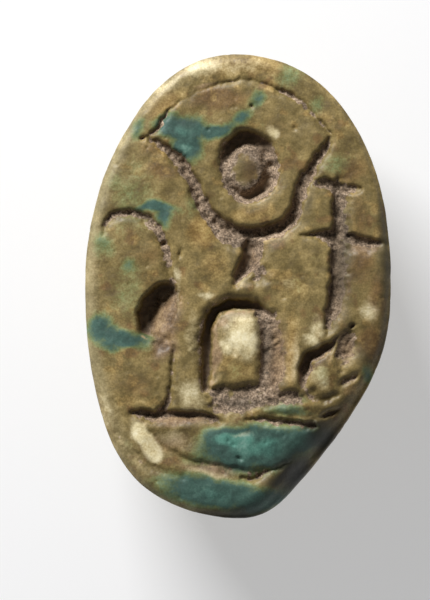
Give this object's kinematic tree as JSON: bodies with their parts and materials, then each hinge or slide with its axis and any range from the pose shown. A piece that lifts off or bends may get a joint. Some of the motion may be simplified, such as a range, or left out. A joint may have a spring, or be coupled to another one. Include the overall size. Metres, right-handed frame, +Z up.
{
  "type": "scaraboid seal bead",
  "caption": "Oval glazed-stone seal bead with a flat carved face, a plain domed back and a stringing hole along its length, lying on its back.",
  "frame": {"origin": "middle of the flat spot on the domed back, under the middle of the oval's box, at floor level", "axes": "+Z up, out of the carved face; +Y along the oval, to the end with the fan; +X across it"},
  "size_m": [0.0105, 0.016, 0.0065],
  "materials": {
    "glazed_stone": "worn olive-brown glaze with turquoise remains over pale steatite, earth in the cuts"
  },
  "bodies": {
    "root": {"scaraboid": "glazed_stone"}
  },
  "joints": []
}
